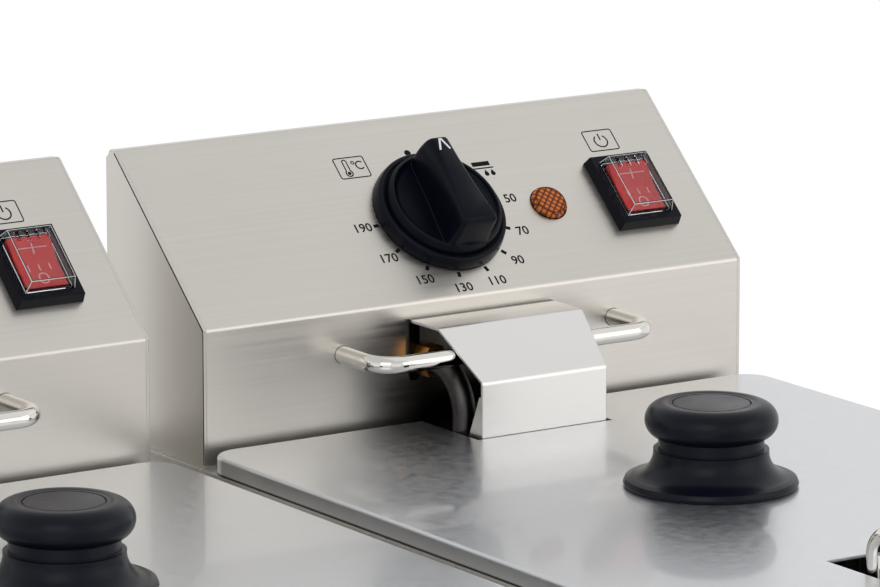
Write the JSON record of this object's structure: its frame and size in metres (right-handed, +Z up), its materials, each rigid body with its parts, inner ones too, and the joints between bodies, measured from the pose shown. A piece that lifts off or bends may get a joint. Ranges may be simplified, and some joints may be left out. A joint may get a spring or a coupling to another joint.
{
  "type": "deep fryer",
  "caption": "Twin countertop deep fryer: steel housing with drop-in tanks, lift-out control heads with dial, rocker switch and element, lift-off lids with knobs, and handled baskets.",
  "frame": {"origin": "on the table plane, under the middle of the fryer's outer box", "axes": "+X to the right seen from the front, +Y to the back, +Z up"},
  "size_m": [0.476, 0.5032, 0.2964],
  "materials": {
    "housing_steel": "brushed stainless sheet",
    "base_steel": "plain stainless sheet",
    "foot_rubber": "black rubber",
    "tank_steel": "satin drawn stainless",
    "head_steel": "horizontally brushed stainless sheet",
    "screw_steel": "zinc plated",
    "bar_chrome": "polished rod",
    "cover_steel": "satin stainless sheet",
    "element_metal": "dark heat-stained tube",
    "nut_brass": "brass",
    "inner_plastic": "black moulding",
    "probe_metal": "drawn capillary",
    "lamp_amber": "amber prismatic lens",
    "switch_black": "black moulding",
    "cap_clear": "clear splash cap",
    "gland_black": "black moulding",
    "rocker_red": "red moulding",
    "dial_black": "black satin moulding",
    "lid_steel": "satin stainless sheet",
    "knob_black": "black satin moulding",
    "basket_wire": "bright plated wire",
    "grip_black": "black moulding"
  },
  "bodies": {
    "base": {"housing": "housing_steel", "base_pan": "base_steel", "rubber_feet": "foot_rubber"},
    "left_tank": {"left_tank": "tank_steel"},
    "left_head": {"left_head_wrap": "head_steel", "left_head_sides": "head_steel", "left_head_rear_cover": "head_steel", "left_head_floor": "head_steel", "left_head_screws": "screw_steel", "left_hanger_bar": "bar_chrome", "left_element_cover": "cover_steel", "left_heating_element": "element_metal", "left_element_nuts": "nut_brass", "left_thermostat_body": "inner_plastic", "left_thermostat_probe": "probe_metal", "left_lamp_lens": "lamp_amber", "left_switch_frame": "switch_black", "left_switch_body": "inner_plastic", "left_switch_cap": "cap_clear", "left_cable_gland": "gland_black"},
    "left_dial": {"left_dial_knob": "dial_black", "left_dial_shaft": "screw_steel"},
    "left_rocker": {"left_rocker": "rocker_red"},
    "left_lid": {"left_lid_sheet": "lid_steel", "left_lid_knob": "knob_black", "left_lid_knob_cap": "knob_black", "left_lid_screw": "screw_steel"},
    "left_basket": {"left_basket_mesh": "basket_wire", "left_basket_frame": "basket_wire", "left_basket_handle": "bar_chrome", "left_basket_grip": "grip_black"},
    "right_tank": {"right_tank": "tank_steel"},
    "right_head": {"right_head_wrap": "head_steel", "right_head_sides": "head_steel", "right_head_rear_cover": "head_steel", "right_head_floor": "head_steel", "right_head_screws": "screw_steel", "right_hanger_bar": "bar_chrome", "right_element_cover": "cover_steel", "right_heating_element": "element_metal", "right_element_nuts": "nut_brass", "right_thermostat_body": "inner_plastic", "right_thermostat_probe": "probe_metal", "right_lamp_lens": "lamp_amber", "right_switch_frame": "switch_black", "right_switch_body": "inner_plastic", "right_switch_cap": "cap_clear", "right_cable_gland": "gland_black"},
    "right_dial": {"right_dial_knob": "dial_black", "right_dial_shaft": "screw_steel"},
    "right_rocker": {"right_rocker": "rocker_red"},
    "right_lid": {"right_lid_sheet": "lid_steel", "right_lid_knob": "knob_black", "right_lid_knob_cap": "knob_black", "right_lid_screw": "screw_steel"},
    "right_basket": {"right_basket_mesh": "basket_wire", "right_basket_frame": "basket_wire", "right_basket_handle": "bar_chrome", "right_basket_grip": "grip_black"}
  },
  "joints": [
    {"name": "left_tank_lift", "type": "slide", "parent": "base", "child": "left_tank", "axis": [0, 0, 1], "range_m": [0, 0.2]},
    {"name": "left_head_lift", "type": "slide", "parent": "left_tank", "child": "left_head", "axis": [0, 0, 1], "range_m": [0, 0.2]},
    {"name": "left_dial_turn", "type": "hinge", "parent": "left_head", "child": "left_dial", "pos_m": [-0.1205, 0.20195, 0.26788], "axis": [0, 0.6718, -0.7407], "range_deg": [0, 267]},
    {"name": "left_rocker_tip", "type": "hinge", "parent": "left_head", "child": "left_rocker", "pos_m": [-0.0401, 0.19943, 0.26843], "axis": [1, 0, 0], "range_deg": [-14, 0]},
    {"name": "left_basket_lift", "type": "slide", "parent": "left_head", "child": "left_basket", "axis": [0, 0, 1], "range_m": [0, 0.004]},
    {"name": "left_lid_off", "type": "slide", "parent": "left_head", "child": "left_lid", "axis": [0, -0.7071, 0.7071], "range_m": [0, 0.25]},
    {"name": "right_tank_lift", "type": "slide", "parent": "base", "child": "right_tank", "axis": [0, 0, 1], "range_m": [0, 0.2]},
    {"name": "right_head_lift", "type": "slide", "parent": "right_tank", "child": "right_head", "axis": [0, 0, 1], "range_m": [0, 0.2]},
    {"name": "right_dial_turn", "type": "hinge", "parent": "right_head", "child": "right_dial", "pos_m": [0.1205, 0.20195, 0.26788], "axis": [0, 0.6718, -0.7407], "range_deg": [0, 267]},
    {"name": "right_rocker_tip", "type": "hinge", "parent": "right_head", "child": "right_rocker", "pos_m": [0.2009, 0.19943, 0.26843], "axis": [1, 0, 0], "range_deg": [-14, 0]},
    {"name": "right_basket_lift", "type": "slide", "parent": "right_head", "child": "right_basket", "axis": [0, 0, 1], "range_m": [0, 0.004]},
    {"name": "right_lid_off", "type": "slide", "parent": "right_head", "child": "right_lid", "axis": [0, -0.7071, 0.7071], "range_m": [0, 0.25]}
  ]
}
